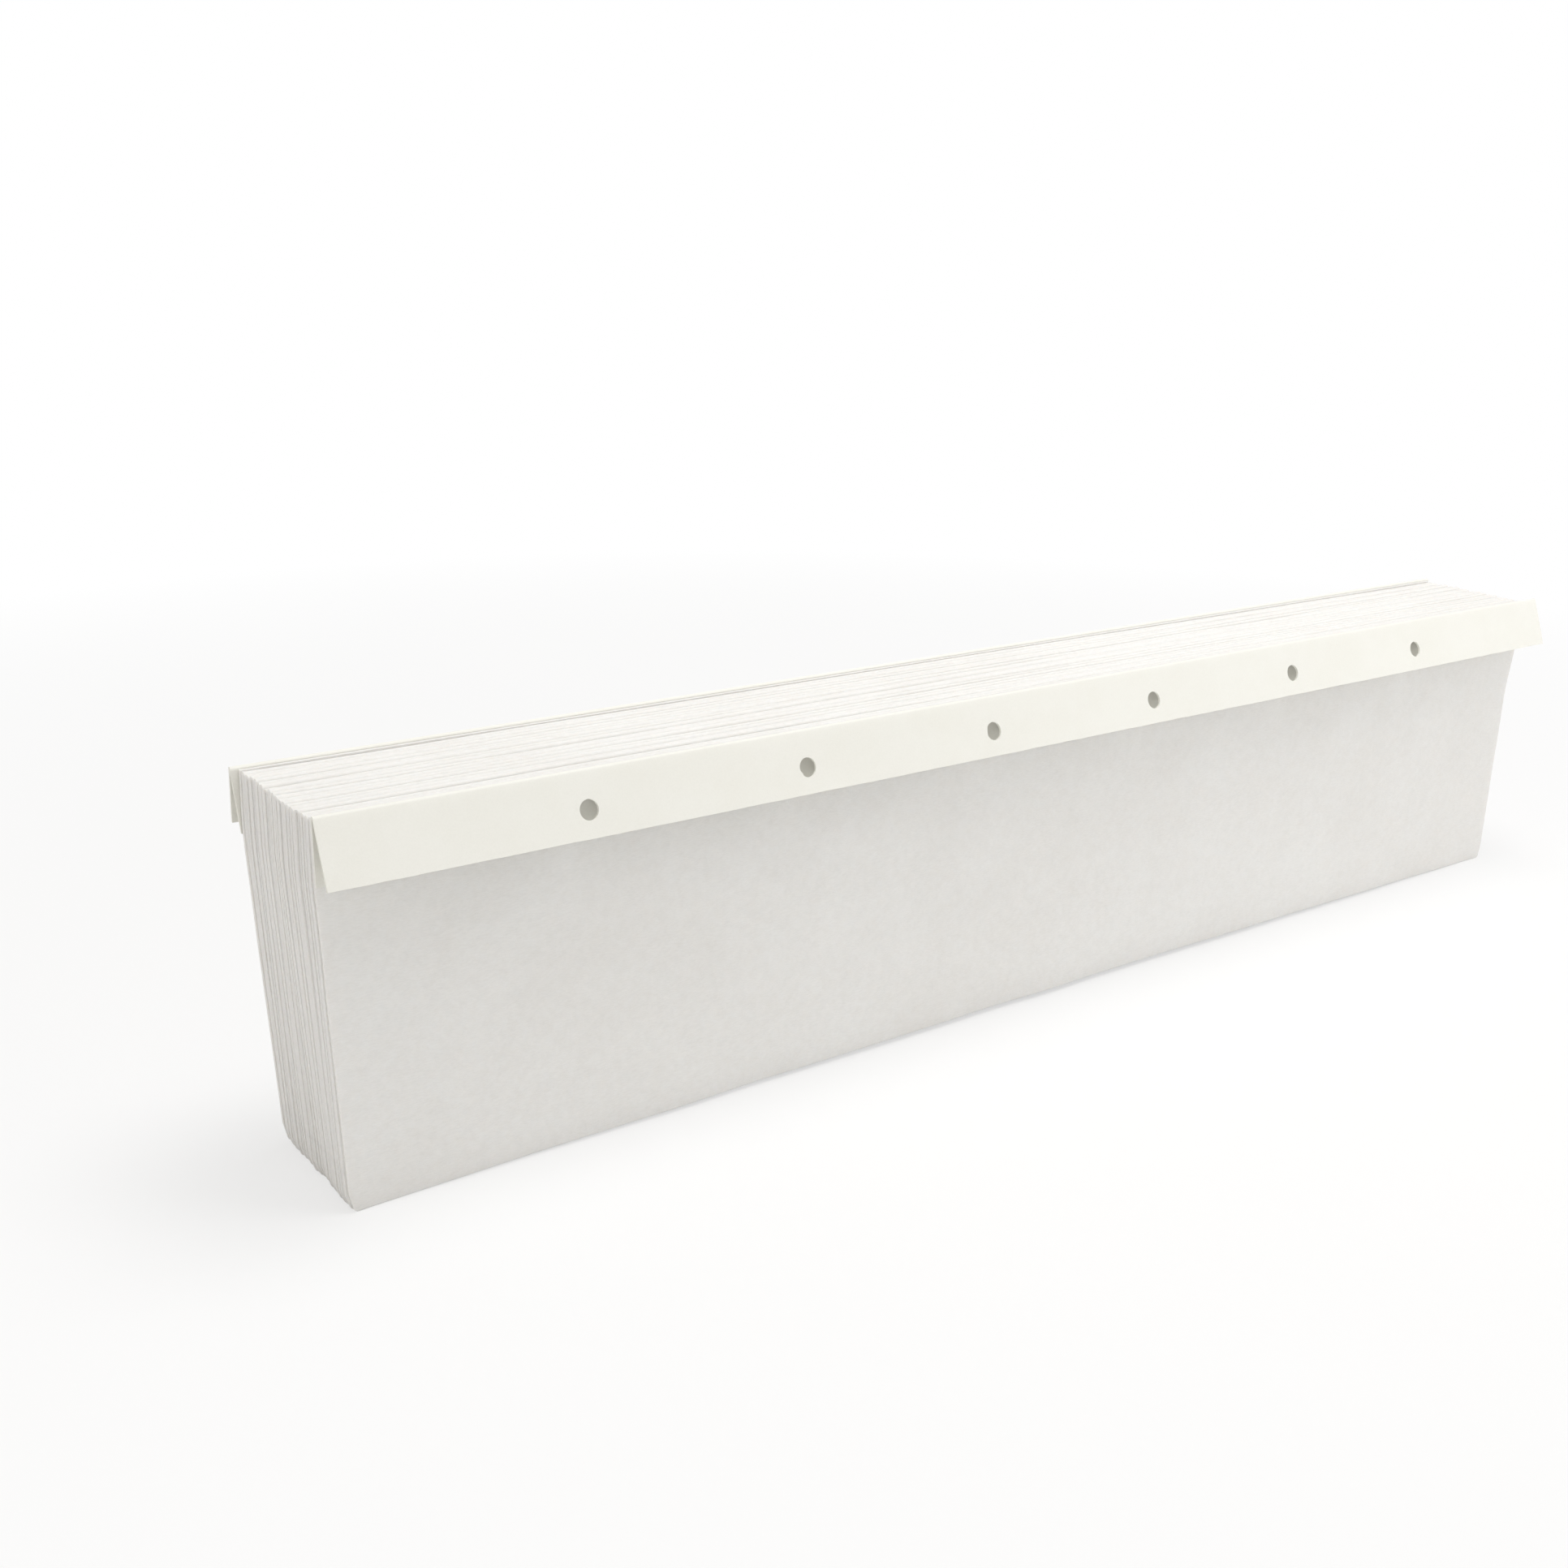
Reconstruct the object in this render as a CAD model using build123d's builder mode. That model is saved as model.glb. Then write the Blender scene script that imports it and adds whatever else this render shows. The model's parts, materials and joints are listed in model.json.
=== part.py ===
"""Collapsed pleated filter media pack with folded card hanging strips.

One long felt sheet is folded back and forth into upright panels. Bottom folds join panels 1-2, 3-4
and so on, top folds join panels 2-3, 4-5 and so on. A folded card strip is glued along the top of
the first and the last panel: its inner leg holds the felt and its outer flap hangs free, punched
for the pegs of the cabinet that the opened pack hooks into.

Millimetres. X runs along the pleats, Y across the pack, Z up. The origin is on the floor under the
middle of the pack.
"""

import os
from math import cos, radians, sin

from build123d import *

# Felt
pleat_count = 18
felt_thickness = 1.45
felt_gap = 0.30  # between neighbouring panels of the closed pack
felt_height = 151.0
felt_length_top = 700.0  # held out straight by the card strips
felt_length_waist = 693.0
felt_length_bottom = 690.0
waist_depth = 42.0  # from the top of the felt down to where its ends have drawn in
felt_corner_radius = 4.0
foot_flat = 0.5  # how deep the felt is pressed flat where it stands
end_stagger = 2.0  # the cut ends of the panels never line up
stagger_turn = 2.4  # radians from one panel's place in the stagger to the next

# Folds
opening_deg = 3.8  # tilt of a panel in the fully opened pack
slit_spare_deg = 8.4  # left open at each crest beyond what the opening pack takes up

# Card strips
strip_length = 711.0
strip_shift = 2.0  # front strip towards +X, back strip towards -X
card_thickness = 1.0
leg_width = 25.4
flap_width = 25.6
crest_above_felt = 1.0
crease_gap = 0.2
flap_splay_deg = 20.0

# Peg holes in the flaps
hole_count = 6
hole_diameter = 7.9
hole_spacing = 98.8
first_hole_from_left = 101.5
hole_below_crease = 15.0

# Glue between leg and felt
glue_thickness = 0.4
glue_line_width = 5.0
glue_line_length = 690.0
glue_from_edge = 4.0  # from the leg's upper and lower edge to the glue line beside it

# Worked out from the sizes above
panel_count = 2 * pleat_count
panel_pitch = felt_thickness + felt_gap
fold_outer = felt_thickness + felt_gap / 2
fold_inner = felt_gap / 2
bottom_axis = fold_outer - foot_flat
top_axis = felt_height - fold_outer
crest_height = felt_height + crest_above_felt
fold_slit_deg = 2 * opening_deg + slit_spare_deg
end_face = (panel_count - 1) / 2 * panel_pitch + felt_thickness / 2
leg_centre = end_face + glue_thickness + card_thickness / 2
crease_y = leg_centre + card_thickness + crease_gap
crease_z = crest_height - card_thickness / 2

FRONT, BACK = -1, 1


def panel_y(number):
    """Middle plane of a panel, counted from 1 at the front."""
    return (number - (panel_count + 1) / 2) * panel_pitch


def on_ring(radius, angle_deg, toward, height):
    """A point of a fold's ring. Angles run from the panel's own side of the axis towards the crest."""
    across = toward * (panel_pitch / 2 - radius * cos(radians(angle_deg)))
    return (across, height + radius * sin(radians(angle_deg)))


def half_fold(toward, axis_height, up):
    """Section of half a fold: a quarter ring about the fold's axis that ends at the slit."""
    last = up * (90 - fold_slit_deg / 2)
    with BuildSketch() as section:
        with BuildLine():
            outer = ThreePointArc(
                on_ring(fold_outer, 0, toward, axis_height),
                on_ring(fold_outer, last / 2, toward, axis_height),
                on_ring(fold_outer, last, toward, axis_height),
            )
            slit = Line(outer @ 1, on_ring(fold_inner, last, toward, axis_height))
            inner = ThreePointArc(
                slit @ 1,
                on_ring(fold_inner, last / 2, toward, axis_height),
                on_ring(fold_inner, 0, toward, axis_height),
            )
            Line(inner @ 1, outer @ 0)
        make_face()
    return section.sketch


def ends_outline(shift):
    """Outline of a panel seen from the front: full length under the strips, drawn in below."""
    waist = felt_height - waist_depth
    with BuildSketch(Plane.XZ) as outline:
        with BuildLine():
            Polyline(
                (shift - felt_length_bottom / 2, -foot_flat),
                (shift + felt_length_bottom / 2, -foot_flat),
                (shift + felt_length_waist / 2, waist),
                (shift + felt_length_top / 2, crest_height - leg_width),
                (shift + felt_length_top / 2, felt_height),
                (shift - felt_length_top / 2, felt_height),
                (shift - felt_length_top / 2, crest_height - leg_width),
                (shift - felt_length_waist / 2, waist),
                close=True,
            )
        make_face()
        fillet(outline.vertices().group_by(Axis.Z)[0], felt_corner_radius)
    return outline


def felt_panel(number):
    """One upright felt panel with its half of the fold at each end."""
    toward = 1 if number % 2 else -1  # bottom fold to the next panel, top fold to the one before
    top_is_free = number in (1, panel_count)
    top = felt_height if top_is_free else top_axis
    side = Plane(origin=(-felt_length_top, panel_y(number), 0), x_dir=(0, 1, 0), z_dir=(1, 0, 0))
    outline = ends_outline(end_stagger * sin(stagger_turn * number))
    with BuildPart() as panel:
        with BuildSketch(side):
            with Locations((0, (bottom_axis + top) / 2)):
                Rectangle(felt_thickness, top - bottom_axis)
            add(half_fold(toward, bottom_axis, -1))
            if not top_is_free:
                add(half_fold(-toward, top_axis, 1))
        extrude(amount=2 * felt_length_top)
        extrude(outline.sketch, amount=end_face + fold_outer, both=True, mode=Mode.INTERSECT)
        split(bisect_by=Plane.XY, keep=Keep.TOP)
    return panel


def glue_leg(side):
    """Inner leg of a card strip, rounded over where the card turns outwards at the crest."""
    with BuildPart() as leg:
        with Locations((-side * strip_shift, side * leg_centre, crest_height - leg_width / 2)):
            Box(strip_length, card_thickness, leg_width)
        upper = leg.edges().filter_by(Axis.X).group_by(Axis.Z)[-1]
        fillet(upper.sort_by(Axis.Y)[0 if side == FRONT else -1], card_thickness / 2)
    return leg


def flap(side):
    """Outer flap of a card strip, splayed at rest, with a round edge on the crease it turns about."""
    splay = radians(flap_splay_deg)
    crease = Plane(
        origin=(-side * strip_shift, side * crease_y, crease_z),
        x_dir=(1, 0, 0),
        z_dir=(0, side * cos(splay), sin(splay)),
    )
    # The plane's y axis points down the back flap and up the front one, hence the side's sign below.
    hanging = flap_width - card_thickness / 2
    to_hole = hole_below_crease - card_thickness / 2
    first_hole = first_hole_from_left - strip_length / 2
    with BuildPart(crease) as card:
        with Locations((0, side * hanging / 2, 0)):
            Box(strip_length, hanging, card_thickness)
        with Locations(Location((0, 0, 0), (0, 90, 0))):
            Cylinder(card_thickness / 2, strip_length)
        for count in range(hole_count):
            with Locations((first_hole + count * hole_spacing, side * to_hole, 0)):
                Cylinder(hole_diameter / 2, 2 * card_thickness, mode=Mode.SUBTRACT)
    return card


def glue_lines(side):
    """Two lines of hot glue that fill the space between a leg and its felt panel."""
    place = side * (end_face + glue_thickness / 2)
    high = crest_height - glue_from_edge - glue_line_width / 2
    low = crest_height - leg_width + glue_from_edge + glue_line_width / 2
    with BuildPart() as lines:
        with Locations((0, place, high), (0, place, low)):
            Box(glue_line_length, glue_thickness, glue_line_width)
    return lines


def save(piece, name):
    """Label a finished piece and write its STEP file."""
    piece.part.label = name
    export_step(piece.part, f"parts/{name}.step")


os.makedirs("parts", exist_ok=True)

for number in range(1, panel_count + 1):
    save(felt_panel(number), f"felt_panel_{number:02d}")

for side, end in ((FRONT, "front"), (BACK, "back")):
    save(glue_leg(side), f"{end}_strip_leg")
    save(flap(side), f"{end}_strip_flap")
    save(glue_lines(side), f"{end}_glue_lines")
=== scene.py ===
"""Closed pack of pleated filter felt with folded card hanging strips, dressed around its frame.

The felt is one sheet folded back and forth. It is built here as one long front panel, one long back
panel, an upright fold for every top crease and a short foot for every bottom crease. The card
strips are flat punched blanks, folded over at their crease.

Metres. X runs along the pleats, Y across the pack, Z up.
"""

import json
import logging
import math
from dataclasses import dataclass, field
from enum import Enum

import bpy
import numpy as np
from mathutils import Matrix, Vector


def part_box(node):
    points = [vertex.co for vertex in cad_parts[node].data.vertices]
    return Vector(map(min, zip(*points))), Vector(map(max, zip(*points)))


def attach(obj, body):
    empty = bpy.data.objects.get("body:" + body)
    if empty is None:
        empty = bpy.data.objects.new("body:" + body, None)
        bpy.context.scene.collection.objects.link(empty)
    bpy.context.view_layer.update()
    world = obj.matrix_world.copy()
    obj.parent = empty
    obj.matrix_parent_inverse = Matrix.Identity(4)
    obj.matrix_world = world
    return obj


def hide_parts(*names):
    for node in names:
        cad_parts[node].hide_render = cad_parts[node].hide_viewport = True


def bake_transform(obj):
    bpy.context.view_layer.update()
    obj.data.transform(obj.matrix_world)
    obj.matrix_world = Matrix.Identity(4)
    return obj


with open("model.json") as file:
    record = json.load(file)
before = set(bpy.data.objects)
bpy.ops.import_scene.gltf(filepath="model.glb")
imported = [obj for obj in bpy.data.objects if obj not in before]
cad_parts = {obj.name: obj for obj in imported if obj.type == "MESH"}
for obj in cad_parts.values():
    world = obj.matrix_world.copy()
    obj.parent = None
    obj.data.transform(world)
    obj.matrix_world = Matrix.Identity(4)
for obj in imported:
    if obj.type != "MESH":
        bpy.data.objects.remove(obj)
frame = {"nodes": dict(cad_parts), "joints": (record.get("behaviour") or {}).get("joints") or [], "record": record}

MM = 0.001
SHARP_DEG = 48  # faces that meet at more than this keep a sharp edge between them
LOG = logging.getLogger("filter_pack")
Triple = tuple[float, float, float]
Colour = Triple
Points = np.ndarray
Material = bpy.types.Material
Piece = bpy.types.Object
Socket = bpy.types.NodeSocket


class End(Enum):
    """The two long sides of the pack, by the sign of Y."""

    FRONT = -1
    BACK = 1


class Fold(Enum):
    """The two kinds of fold in the felt, by the sign of the way that their crests point."""

    BOTTOM = -1
    TOP = 1


# ---------------------------------------------------------------- measures taken from the frame


@dataclass(frozen=True)
class PackSizes:
    """Sizes and places of the pack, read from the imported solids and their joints.

    Attributes:
        panel_y: Middle plane of each felt panel, front to back.
        panel_shift: How far each panel's cut ends are shifted along X.
        felt: Thickness of the felt.
        felt_top: Height of the felt's top folds.
        half_top: Half the felt's length where the strips hold it straight.
        top_axis: Height of the axes that the top folds turn about.
        bottom_axis: Height of the axes that the bottom folds turn about.
        leg_foot: Height of the lower edge of the strips' inner legs.
    """

    panel_y: tuple[float, ...]
    panel_shift: tuple[float, ...]
    felt: float
    felt_top: float
    half_top: float
    top_axis: float
    bottom_axis: float
    leg_foot: float

    @property
    def count(self) -> int:
        """Number of felt panels."""
        return len(self.panel_y)

    @property
    def pitch(self) -> float:
        """Distance between the middle planes of neighbouring panels."""
        return self.panel_y[1] - self.panel_y[0]

    def axis(self, fold: Fold) -> float:
        """Height of the axes that folds of one kind turn about."""
        return self.top_axis if fold is Fold.TOP else self.bottom_axis


def joint_named(name: str) -> dict:
    """The frame's joint of that name."""
    return next(joint for joint in frame["joints"] if joint["name"] == name)


def panel_node(number: int) -> str:
    """Node name of a felt panel, counted from 1 at the front."""
    return f"felt_panel_{number:02d}"


def panel_body(number: int) -> str:
    """Body name of a felt panel, counted from 1 at the front."""
    return f"panel_{number:02d}"


def panel_total() -> int:
    """Number of felt panels in the frame."""
    return sum(name.startswith("felt_panel_") for name in frame["nodes"])


def end_body(end: End) -> str:
    """Body of the first or the last felt panel, which carries that side's strip."""
    return panel_body(1 if end is End.FRONT else panel_total())


def measure_pack() -> PackSizes:
    """Read the pack's sizes from its nodes and joints.

    Returns:
        The sizes that every piece of felt is built from.
    """
    count = panel_total()
    boxes = [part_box(panel_node(number)) for number in range(1, count + 1)]
    axis_y = [joint_named(f"fold_{n:02d}")["pos_m"][1] for n in range(1, count)]
    pitch = axis_y[1] - axis_y[0]
    centres = [axis_y[0] - pitch / 2 + n * pitch for n in range(count)]
    felt = 2 * (centres[0] - boxes[0][0][1])
    return PackSizes(
        panel_y=tuple(centres),
        panel_shift=tuple((low[0] + high[0]) / 2 for low, high in boxes),
        felt=felt,
        felt_top=boxes[0][1][2],
        half_top=(boxes[0][1][0] - boxes[0][0][0]) / 2,
        top_axis=joint_named("fold_02")["pos_m"][2],
        bottom_axis=joint_named("fold_01")["pos_m"][2],
        leg_foot=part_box("front_strip_leg")[0][2],
    )


# ---------------------------------------------------------------- smooth unevenness


class Unevenness:
    """A smooth random surface over two directions, the same on every run."""

    TABLE_SIDE = 64
    OFFSET = 1000  # in cells, keeps every place on the positive side of the table

    def __init__(self, seed: int, cell_u: float, cell_v: float) -> None:
        """Keep the table of heights.

        Args:
            seed: Which surface of all possible ones.
            cell_u: Distance between heights along the first direction, in metres.
            cell_v: The same along the second direction.
        """
        self.table = np.random.default_rng(seed).uniform(-1, 1, (self.TABLE_SIDE,) * 2)
        self.cells = (cell_u, cell_v)

    def at(self, u: Points, v: Points) -> Points:
        """Heights between -1 and 1 at the given places.

        Args:
            u: Places along the first direction, in metres.
            v: Places along the second direction.

        Returns:
            One height for each place.
        """
        grid_u, grid_v = np.broadcast_arrays(
            u / self.cells[0] + self.OFFSET, v / self.cells[1] + self.OFFSET
        )
        low_u, low_v = np.floor(grid_u).astype(int), np.floor(grid_v).astype(int)
        share_u, share_v = grid_u - low_u, grid_v - low_v
        share_u = share_u * share_u * (3 - 2 * share_u)
        share_v = share_v * share_v * (3 - 2 * share_v)
        side = self.TABLE_SIDE
        corner = [
            self.table[(low_u + du) % side, (low_v + dv) % side] for du in (0, 1) for dv in (0, 1)
        ]
        near = corner[0] * (1 - share_v) + corner[1] * share_v
        far = corner[2] * (1 - share_v) + corner[3] * share_v
        return near * (1 - share_u) + far * share_u


def ease(value: Points, start: float, end: float) -> Points:
    """Smooth step from 0 at start to 1 at end."""
    share = np.clip((value - start) / (end - start), 0, 1)
    return share * share * (3 - 2 * share)


def bell(value: Points, centre: float, width: float) -> Points:
    """A smooth hump of height 1 about a centre."""
    return np.exp(-(((value - centre) / width) ** 2))


# ---------------------------------------------------------------- meshes


def sheet_mesh(name: str, grid: Points) -> Piece:
    """Make a closed sheet from two facing skins of points.

    Args:
        name: Name of the piece.
        grid: Points in metres, indexed by station, place along the section, skin (0 or 1) and axis.

    Returns:
        The piece, linked to the scene.
    """
    stations, places = grid.shape[:2]
    index = np.arange(stations * places * 2).reshape(stations, places, 2)

    def quads(a: Points, b: Points, c: Points, d: Points) -> list[list[int]]:
        """Quads from four equal blocks of corner numbers."""
        return np.stack([a, b, c, d], axis=-1).reshape(-1, 4).tolist()

    faces = []
    for skin in (0, 1):
        i = index[:, :, skin]
        corners = [i[:-1, :-1], i[1:, :-1], i[1:, 1:], i[:-1, 1:]]
        faces += quads(*(corners if skin else corners[::-1]))
    for place, turned in ((0, False), (places - 1, True)):
        i = index[:, place, :]
        corners = [i[:-1, 0], i[1:, 0], i[1:, 1], i[:-1, 1]]
        faces += quads(*(corners[::-1] if turned else corners))
    for station, turned in ((0, True), (stations - 1, False)):
        i = index[station]
        corners = [i[:-1, 0], i[1:, 0], i[1:, 1], i[:-1, 1]]
        faces += quads(*(corners[::-1] if turned else corners))
    return mesh_object(name, grid.reshape(-1, 3), faces)


def mesh_object(name: str, points: Points, faces: list[list[int]]) -> Piece:
    """Make a smooth-shaded mesh piece and link it.

    Args:
        name: Name of the piece.
        points: Corner points, in metres.
        faces: Corner numbers of each face.

    Returns:
        The piece.
    """
    mesh = bpy.data.meshes.new(name)
    mesh.from_pydata(points.tolist(), [], faces)
    mesh.validate()
    mesh.shade_smooth()
    mesh.set_sharp_from_angle(angle=math.radians(SHARP_DEG))
    piece = bpy.data.objects.new(name, mesh)
    bpy.context.scene.collection.objects.link(piece)
    return piece


def set_points(piece: Piece, points: Points) -> None:
    """Move a piece's mesh points to new places, in the same order."""
    piece.data.vertices.foreach_set("co", points.reshape(-1).astype(np.float32))
    piece.data.update()


def dress(piece: Piece, material: Material) -> None:
    """Give a piece its finish.

    Args:
        piece: The piece.
        material: Its finish.
    """
    piece.data.materials.clear()
    piece.data.materials.append(material)


# ---------------------------------------------------------------- finishes


class Recipe:
    """A node material under construction, with short ways to add and join nodes."""

    def __init__(self, name: str) -> None:
        """Start an empty node material.

        Args:
            name: Name of the material.
        """
        self.material = bpy.data.materials.new(name)
        self.material.use_nodes = True
        self.tree = self.material.node_tree
        self.tree.nodes.clear()

    def node(self, kind: str, **settings: object) -> bpy.types.Node:
        """Add a node.

        Args:
            kind: Blender's type name without its ShaderNode prefix.
            settings: Node properties, and values or outputs for its inputs, keyed by socket name
                with _ for spaces.

        Returns:
            The new node.
        """
        made = self.tree.nodes.new(f"ShaderNode{kind}")
        for key, value in settings.items():
            if hasattr(made, key):
                setattr(made, key, value)
            elif isinstance(value, Socket):
                self.join(value, made.inputs[key.replace("_", " ")])
            else:
                made.inputs[key.replace("_", " ")].default_value = value
        return made

    def join(self, source: Socket, target: Socket) -> None:
        """Link an output to an input."""
        self.tree.links.new(source, target)

    def noise(self, place: Socket, scale: float, detail: float) -> Socket:
        """Noise of a given scale and detail over a vector."""
        made = self.node("TexNoise", Scale=scale, Detail=detail, Roughness=0.6, Vector=place)
        return made.outputs["Fac"]

    def stretched(self, place: Socket, scale: Triple, turn: Triple) -> Socket:
        """A vector scaled and turned, for fibres that run one way."""
        return self.node("Mapping", Scale=scale, Rotation=turn, Vector=place).outputs["Vector"]

    def bump(self, depth: float, strength: float, **sockets: Socket) -> Socket:
        """Relief from the heights given as Height, over the relief given as Normal, if any."""
        return self.node("Bump", Distance=depth, Strength=strength, **sockets).outputs["Normal"]

    def blend(
        self, share: Socket, low: Colour, high: Colour, start: float, end: float
    ) -> Socket:
        """Blend two colours by a value.

        Args:
            share: The value.
            low: Colour at and below start.
            high: Colour at and above end.
            start: Value where the blend begins.
            end: Value where it ends.

        Returns:
            The blended colour.
        """
        ramp = self.node("ValToRGB", Fac=share)
        ramp.color_ramp.elements[0].position = start
        ramp.color_ramp.elements[0].color = (*low, 1)
        ramp.color_ramp.elements[1].position = end
        ramp.color_ramp.elements[1].color = (*high, 1)
        return ramp.outputs["Color"]

    def mix_colour(
        self, kind: str, share: float, first: Socket, second: Socket
    ) -> Socket:
        """Mix two colour outputs.

        Args:
            kind: Blender's name of the blend type.
            share: How much of the second colour counts.
            first: The first colour.
            second: The second colour.

        Returns:
            The mixed colour.
        """
        made = self.node("Mix", data_type="RGBA", blend_type=kind)
        made.inputs["Factor"].default_value = share
        self.join(first, made.inputs["A"])
        self.join(second, made.inputs["B"])
        return made.outputs["Result"]

    def finish(self, shader: Socket) -> Material:
        """Join the shader to the output and hand over the material."""
        self.node("OutputMaterial", Surface=shader)
        return self.material

    def surface(self, **settings: object) -> Material:
        """Finish the material with one principled surface of these settings."""
        return self.finish(self.node("BsdfPrincipled", **settings).outputs["BSDF"])


def seen_directly(tree: bpy.types.NodeTree) -> Socket:
    """Tell rays that carry a view of the backdrop from rays that only light the pack.

    Args:
        tree: Node tree that the nodes are added to.

    Returns:
        1 for rays from the camera, straight or by way of gloss or glass, otherwise 0.
    """
    path = tree.nodes.new("ShaderNodeLightPath")
    seen = path.outputs["Is Camera Ray"]
    for kind in ("Is Glossy Ray", "Is Transmission Ray"):
        either = tree.nodes.new("ShaderNodeMath")
        either.operation = "MAXIMUM"
        tree.links.new(seen, either.inputs[0])
        tree.links.new(path.outputs[kind], either.inputs[1])
        seen = either.outputs["Value"]
    return seen


@dataclass(frozen=True)
class FeltFinish:
    """Lofty white non-woven felt: matte, fibrous, cloudy where the web is thinner.

    Attributes:
        thick: Colour where the web is thick.
        thin: Colour where the web is thinner.
        fibre_depth: Height of the fibre relief, in metres.
        cloud_depth: Height of the slow lumps of the web, in metres.
        roughness: Surface roughness.
    """

    thick: Colour = (0.87, 0.857, 0.835)
    thin: Colour = (0.845, 0.828, 0.803)
    fibre_depth: float = 0.00012
    cloud_depth: float = 0.00025
    roughness: float = 0.95

    def material(self) -> Material:
        """Build the felt's node material.

        Returns:
            The material.
        """
        recipe = Recipe("felt")
        place = recipe.node("TexCoord").outputs["Object"]
        clouds = recipe.noise(place, 17.0, 5.0)
        lumps = recipe.noise(place, 260.0, 4.0)
        along = recipe.noise(recipe.stretched(place, (500, 900, 2600), (0, 0.5, 0)), 1.0, 4.0)
        across = recipe.noise(recipe.stretched(place, (2400, 900, 600), (0, -0.4, 0)), 1.0, 4.0)
        base = recipe.blend(clouds, self.thin, self.thick, 0.36, 0.62)
        speck = recipe.blend(lumps, (0.965, 0.962, 0.958), (1, 1, 1), 0.3, 0.6)
        fibre = recipe.blend(along, (0.95, 0.948, 0.945), (1, 1, 1), 0.35, 0.6)
        colour = recipe.mix_colour("MULTIPLY", 0.8, base, speck)
        colour = recipe.mix_colour("MULTIPLY", 0.8, colour, fibre)
        web = recipe.bump(self.cloud_depth, 0.5, Height=lumps)
        relief = recipe.bump(self.fibre_depth, 0.7, Height=along, Normal=web)
        cross = recipe.bump(self.fibre_depth, 0.6, Height=across, Normal=relief)
        return recipe.surface(
            Base_Color=colour,
            Normal=cross,
            Roughness=self.roughness,
            Sheen_Weight=0.12,
            Sheen_Roughness=0.6,
            Specular_IOR_Level=0.15,
            Subsurface_Weight=0.4,
            Subsurface_Radius=(0.0032, 0.0028, 0.0025),
            Subsurface_Scale=1.0,
        )


@dataclass(frozen=True)
class CardFinish:
    """Stiff off-white card: smooth, faintly mottled, with a slight calendered gloss.

    Attributes:
        face: Colour of the card's face.
        mottle: Colour of its faint mottling.
        roughness: Surface roughness.
    """

    face: Colour = (0.872, 0.867, 0.815)
    mottle: Colour = (0.855, 0.848, 0.79)
    roughness: float = 0.6

    def material(self) -> Material:
        """Build the card's node material.

        Returns:
            The material.
        """
        recipe = Recipe("card")
        place = recipe.node("TexCoord").outputs["Object"]
        clouds = recipe.noise(place, 38.0, 5.0)
        grain = recipe.noise(place, 1500.0, 3.0)
        drawn = recipe.noise(recipe.stretched(place, (60, 900, 900), (0, 0, 0)), 1.0, 3.0)
        base = recipe.blend(clouds, self.mottle, self.face, 0.35, 0.6)
        fine = recipe.blend(grain, (0.97, 0.97, 0.97), (1, 1, 1), 0.35, 0.6)
        colour = recipe.mix_colour("MULTIPLY", 0.7, base, fine)
        low, high = self.roughness - 0.06, self.roughness + 0.08
        rough = recipe.node("MapRange", To_Min=low, To_Max=high, Value=clouds).outputs["Result"]
        relief = recipe.bump(0.03 * MM, 0.5, Height=grain)
        pulled = recipe.bump(0.04 * MM, 0.35, Height=drawn, Normal=relief)
        return recipe.surface(
            Specular_IOR_Level=0.35, Base_Color=colour, Roughness=rough, Normal=pulled
        )


@dataclass(frozen=True)
class GlueFinish:
    """Set hot glue: milky, waxy, a little uneven.

    Attributes:
        clear: Colour where the glue is thin.
        milky: Colour where it is thick.
    """

    clear: Colour = (0.78, 0.74, 0.62)
    milky: Colour = (0.84, 0.81, 0.72)

    def material(self) -> Material:
        """Build the glue's node material.

        Returns:
            The material.
        """
        recipe = Recipe("hot_glue")
        place = recipe.node("TexCoord").outputs["Object"]
        flow = recipe.noise(place, 120.0, 3.0)
        colour = recipe.blend(flow, self.clear, self.milky, 0.35, 0.65)
        ripple = recipe.bump(0.2 * MM, 0.4, Height=flow)
        return recipe.surface(
            Roughness=0.38, Specular_IOR_Level=0.5, Base_Color=colour, Normal=ripple
        )


@dataclass(frozen=True)
class FloorFinish:
    """Pale studio floor that fades into the white background and keeps the pack's shadow.

    Attributes:
        colour: Colour of the floor.
        near: Distance from the pack where the floor starts to fade into white.
        far: Distance from the pack where it is all white.
        lift: Share of plain white that the camera sees close to the pack.
    """

    colour: Colour = (0.90, 0.90, 0.90)
    near: float = 0.25
    far: float = 1.1
    lift: float = 0.55

    def material(self) -> Material:
        """Build the floor's node material.

        Returns:
            The material.
        """
        recipe = Recipe("floor")
        place = recipe.node("TexCoord").outputs["Object"]
        cloud = recipe.noise(place, 2.0, 2.0)
        colour = recipe.blend(cloud, tuple(0.985 * c for c in self.colour), self.colour, 0.3, 0.7)
        matte = recipe.node("BsdfDiffuse", Color=colour)
        reach = recipe.node("VectorMath", operation="LENGTH", Vector=place).outputs["Value"]
        fade = recipe.node(
            "MapRange", From_Min=self.near, From_Max=self.far, To_Min=self.lift, Value=reach
        )
        share = recipe.node("Math", operation="MULTIPLY")
        recipe.join(seen_directly(recipe.tree), share.inputs[0])
        recipe.join(fade.outputs["Result"], share.inputs[1])
        both = recipe.node("MixShader", Fac=share.outputs["Value"])
        recipe.join(matte.outputs["BSDF"], both.inputs[1])
        recipe.join(recipe.node("Emission").outputs["Emission"], both.inputs[2])
        return recipe.finish(both.outputs["Shader"])


# ---------------------------------------------------------------- the folded felt


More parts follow.
